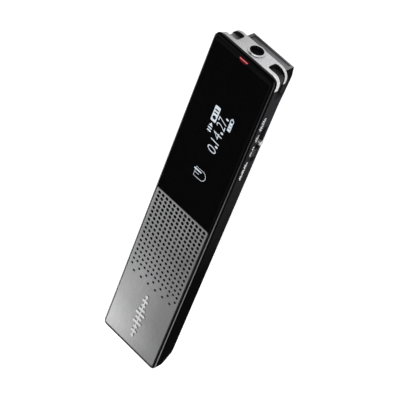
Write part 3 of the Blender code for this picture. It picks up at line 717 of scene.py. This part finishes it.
def make_mic_mesh(side, word):
    """A sheet of small cells, each a square ring round its own round hole."""
    bm = bmesh.new()
    columns, rows = MESH_CELLS

    def vertex(u, v):
        x, s = mesh_point(side, u / columns)
        return bm.verts.new(place(x, s, MESH_D[0] + (MESH_D[1] - MESH_D[0]) * v / rows))

    for column in range(columns):
        for row in range(rows):
            rings = [[vertex(*point) for point in ring] for ring in cell_rings(column, row)]
            join_rings(bm, rings)
    bmesh.ops.remove_doubles(bm, verts=bm.verts, dist=0.01 * MM)
    piece = make_object(f"mic_weave_{word}", bm)
    thick = piece.modifiers.new("thickness", "SOLIDIFY")
    thick.thickness = MESH_THICK * MM
    thick.offset = 0
    ride(piece, "mic_mesh")
    # The mesh below MESH_SHADE gets painted shade
    add_finishes(piece, (("slot_dark", shaded_mesh),))
    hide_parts(f"mic_mesh_{word}")


# ---------------------------------------------------------------- eased pieces

SIDE_END_D = 5.6
CAP_REAR_D = 6.0
BACK_HALF = 9.0
BACK_RADIUS = 2.5
CAP_SKIN = 0.3
RIM_X = 9.4
CLIP_FLANK_X = 6.6
# The knob gets a painted highlight above KNOB_TIP_S and painted shade outside KNOB_GRIP_S
KNOB_TIP_S = 81.2
KNOB_GRIP_S = (76.35, 79.2)


def shaded_cap_inside(centre, normal):
    """True for the cap's faces that lie inside its outer skin, such as the slots' walls, which get
    painted shade.
    """
    x, s, d = body_point(centre)
    if d > CAP_REAR_D and normal.z < -0.9:
        return False
    half, radius = (BODY_HALF, CORNER_RADIUS) if d < SIDE_END_D else (BACK_HALF, BACK_RADIUS)
    past_x = abs(x) - (half - radius)
    past_s = s - (BODY_LENGTH - radius)
    if past_x > 0 and past_s > 0:
        reach = math.hypot(past_x, past_s)
    else:
        reach = max(past_x, past_s)
    return radius - reach > CAP_SKIN


# The frame's right rim, which gets a painted highlight
def lit_right_rim(centre, normal):
    return normal.z > 0.3 and centre.x > RIM_X * MM


# The frame's left rim, which gets a painted highlight
def lit_left_rim(centre, normal):
    return normal.z > 0.3 and centre.x < -RIM_X * MM


# The frame's upward faces, which get a painted highlight
def lit_top_side(centre, normal):
    return normal.y > 0.6


# The clip's outer flanks, which get painted shade
def shaded_clip_flank(centre, normal):
    return abs(normal.x) > 0.8 and abs(centre.x) > CLIP_FLANK_X * MM


# The emblem's side walls, which get painted shade
def shaded_emblem_side(centre, normal):
    return abs(normal.z) < 0.5


# The knob outside its grip, which gets painted shade
def shaded_knob_ends(centre, normal):
    return not KNOB_GRIP_S[0] < body_point(centre)[1] < KNOB_GRIP_S[1]


# The knob's top end, which gets a painted highlight
def knob_tip(centre, normal):
    return body_point(centre)[1] > KNOB_TIP_S


# The window's sides, which get painted shade
def shaded_window_side(centre, normal):
    return normal.z < 0.97


# Node, width of its eased edges, and the finishes that some of its faces get
EASED = (
    # The cap's slot walls and inner faces get painted shade
    ("top_cap", 0.09, ("slot_dark", shaded_cap_inside)),
    # The clip's flanks get painted shade
    ("clip_plate", 0.1, ("clip_side", shaded_clip_flank)),
    # The emblem's side walls get painted shade
    ("wave_emblem", 0.03, ("emblem_edge", shaded_emblem_side)),
    # The frame's rims and upward faces get painted highlights
    ("front_frame", 0.04, ("frame_edge", lit_right_rim), ("left_edge", lit_left_rim),
     ("frame_top", lit_top_side)),
    # The knob's ends get painted shade and its top end a painted highlight
    ("slide_knob", 0.05, ("clip_side", shaded_knob_ends), ("knob_tip", knob_tip)),
    # The window's sides get painted shade
    ("display_window", 0.02, ("clip_side", shaded_window_side)),
    ("side_band", 0.07),
    ("rear_cover", 0.1),
    ("jack_ring", 0.05),
)


# ---------------------------------------------------------------- display and printing

PRINT_PROUD = 0.01
PRINT_THICK = 0.012
BADGE_CUT_D = -0.015
RIGHT_FACE = 10.0
LEFT_FACE = -10.4
SLOT_FLOOR_X = 8.72

DIGIT_EXTRUDE = 0.01
DIGIT_LIFT = 0.006
DIGIT_SLANT = 0.12
DIGIT_THINNING = -0.016
DIGITS_X = (-0.3, 2.5)
DIGITS = (("display_hours", "0", (72.6, 74.2)), ("display_minutes", "14", (75.6, 78.6)),
          ("display_seconds", "27", (80.1, 83.2)))
UNIT_MARKS_S = (74.55, 79.05, 83.5)

LINE_FLATNESS = 0.1
ICON_CENTRE = (1.2, 64.5)
ICON_RADIUS = 1.4
ICON_FLAT_X = -1.0

# Each row of side ticks: from and to along s, the ticks' top in d, and their width
TICK_ROWS = ((69.5, 75.7, 2.05, 0.36), (77.2, 81.0, 2.3, 0.3), (82.2, 85.2, 2.0, 0.26),
             (85.8, 90.6, 1.8, 0.26))
TICK_PITCH = 0.62
TICK_FOOT = 2.9
TICK_SHORTER = 0.35


def arrow(s, d, length, half):
    """A triangle on the side, pointing along s."""
    return [(s, d - half), (s + length, d), (s, d + half)]


KEY_MARKS = {
    "rec_key": [circle(88.5, 4.0, 0.5, 20)],
    "stop_key": [rounded(80.55, 81.45, 3.55, 4.45, 0.06)],
    "play_key": [arrow(74.1, 4.0, 0.9, 0.5)],
    "back_key": [arrow(68.8, 4.0, -0.6, 0.45), arrow(69.4, 4.0, -0.6, 0.45)],
    "forward_key": [arrow(63.6, 4.0, 0.6, 0.45), arrow(64.2, 4.0, 0.6, 0.45)],
}
KEY_MARK_THICK = 0.01


def print_patch(name, finish, outlines, face, side=False, body="body", thick=PRINT_THICK):
    """Thin printed shapes on a face: (x, s) outlines on the front, or (s, d) ones on a side."""
    bm = bmesh.new()
    outward = 1 if side and face > 0 else -1
    for outline in outlines:
        layers = []
        for level in (face + outward * PRINT_PROUD, face + outward * (PRINT_PROUD + thick)):
            layers.append([(level, a, b) if side else (a, b, level) for a, b in outline])
        add_stack(bm, layers)
    ride(make_object(name, bm), finish, body)


def print_digits(name, text, s_range):
    """Digits on the display, reading along the body with their tops to the left."""
    curve = bpy.data.curves.new(name, "FONT")
    curve.body = text
    curve.extrude = DIGIT_EXTRUDE
    curve.shear = DIGIT_SLANT
    curve.offset = DIGIT_THINNING
    curve.resolution_u = 4
    text_object = bpy.data.objects.new(name, curve)
    bpy.context.scene.collection.objects.link(text_object)
    mesh = evaluated_mesh(text_object)
    bpy.data.objects.remove(text_object)
    low = [min(v.co[i] for v in mesh.vertices) for i in range(2)]
    high = [max(v.co[i] for v in mesh.vertices) for i in range(2)]
    for vertex in mesh.vertices:
        along, up = ((vertex.co[i] - low[i]) / (high[i] - low[i]) for i in range(2))
        vertex.co = place(DIGITS_X[1] + (DIGITS_X[0] - DIGITS_X[1]) * up,
                          s_range[0] + (s_range[1] - s_range[0]) * along,
                          -PRINT_PROUD - DIGIT_LIFT - vertex.co.z)
    piece = bpy.data.objects.new(name, mesh)
    bpy.context.scene.collection.objects.link(piece)
    ride(piece, "screen_light")


def print_line(name, strokes, width):
    """Drawn lines on the front face through (x, s) points, as flattened tubes."""
    curve = bpy.data.curves.new(name, "CURVE")
    curve.dimensions = "3D"
    curve.bevel_depth = width / 2 * MM
    curve.bevel_resolution = 2
    curve.use_fill_caps = True
    for points, closed in strokes:
        spline = curve.splines.new("POLY")
        spline.points.add(len(points) - 1)
        for point, (x, s) in zip(spline.points, points):
            point.co = (x * MM, (s - S_MIDDLE) * MM, 0, 1)
        spline.use_cyclic_u = closed
    piece = bpy.data.objects.new(name, curve)
    piece.location.z = (FRONT_Z + PRINT_PROUD) * MM
    piece.scale.z = LINE_FLATNESS
    bpy.context.scene.collection.objects.link(piece)
    ride(piece, "screen_light")


def print_battery():
    """An outlined battery with three cells and a nub."""
    left, right, foot, head, line = 2.95, 4.0, 81.2, 84.8, 0.2
    shapes = [rounded(left, right, s, s + 0.75, 0.12) for s in (foot, 82.15, 83.1)]
    shapes += [rounded(left, left + line, foot, head, 0.08),
               rounded(right - line, right, foot, head, 0.08),
               rounded(left, right, head - line, head, 0.08),
               rounded(3.28, 3.68, head + 0.05, head + 0.35, 0.08)]
    print_patch("display_battery", "screen_light", shapes, 0)


def print_icon():
    """An outlined dome with one thick and one thin bar in it."""
    x, s = ICON_CENTRE
    dome = []
    for degrees in range(0, 181, 15):
        a = math.radians(degrees)
        dome.append((x + ICON_RADIUS * math.sin(a), s - ICON_RADIUS * math.cos(a)))
    dome += [(ICON_FLAT_X, s + ICON_RADIUS), (ICON_FLAT_X, s - ICON_RADIUS)]
    print_line("display_icon", [(dome, True), ([(ICON_FLAT_X, 64.25), (0.5, 64.25)], False)], 0.15)
    print_patch("display_icon_bar", "screen_light", [rounded(-1.5, 1.0, 65.0, 65.4, 0.15)], 0)


def make_display_print():
    """The display's digits, a badge with a dot and two bars, a mode mark, a battery, an icon."""
    for name, text, s_range in DIGITS:
        print_digits(name, text, s_range)
    units = [rounded(1.7, 2.5, s, s + 0.55, 0.2) for s in UNIT_MARKS_S]
    print_patch("display_units", "screen_light", units, 0)
    print_patch("display_badge", "screen_light", [rounded(-2.35, -0.65, 80.4, 85.1, 0.3)], 0)
    cuts = [circle(-1.5, 81.6, 0.55, 16)]
    cuts += [rounded(-2.05, -0.95, s, s + 0.4, 0.1, 2) for s in (82.8, 83.7)]
    print_patch("display_badge_cuts", "slot_dark", cuts, BADGE_CUT_D)
    mode = [rounded(-2.2, -0.95, s, s + 0.4, 0.12) for s in (77.2, 78.0)]
    mode.append([(-2.2, 78.8), (-0.95, 78.8), (-1.6, 79.8)])
    print_patch("display_mode", "screen_light", mode, 0)
    print_battery()
    print_icon()


def make_side_print():
    """Rows of plain ticks where the right side is printed, and a dot in the switch's slot."""
    ticks = []
    for low, high, top, width in TICK_ROWS:
        for i in range(int((high - low) / TICK_PITCH)):
            s = low + TICK_PITCH * i
            start = top if i % 3 else top + TICK_SHORTER
            ticks.append(rounded(s, s + width, start, TICK_FOOT, 0.1, 2))
    print_patch("side_ticks", "print_white", ticks, RIGHT_FACE, side=True)
    print_patch("slot_dot", "print_white", [circle(84.6, 4.1, 0.32, 16)], SLOT_FLOOR_X, side=True)


def make_key_marks():
    for key, outlines in KEY_MARKS.items():
        finish = "mark_red" if key == "rec_key" else "print_white"
        print_patch(f"{key}_mark", finish, outlines, LEFT_FACE, side=True,
                    body=body_of_node(key), thick=KEY_MARK_THICK)


make_camera()
make_studio()
make_floor()
FINISHES = make_finishes()
dress_nodes()
make_grille()
for side, word in ((-1, "left"), (1, "right")):
    make_mic_mesh(side, word)
make_display_print()
make_side_print()
make_key_marks()
for node, width, *others in EASED:
    eased_copy(node, width, *others)
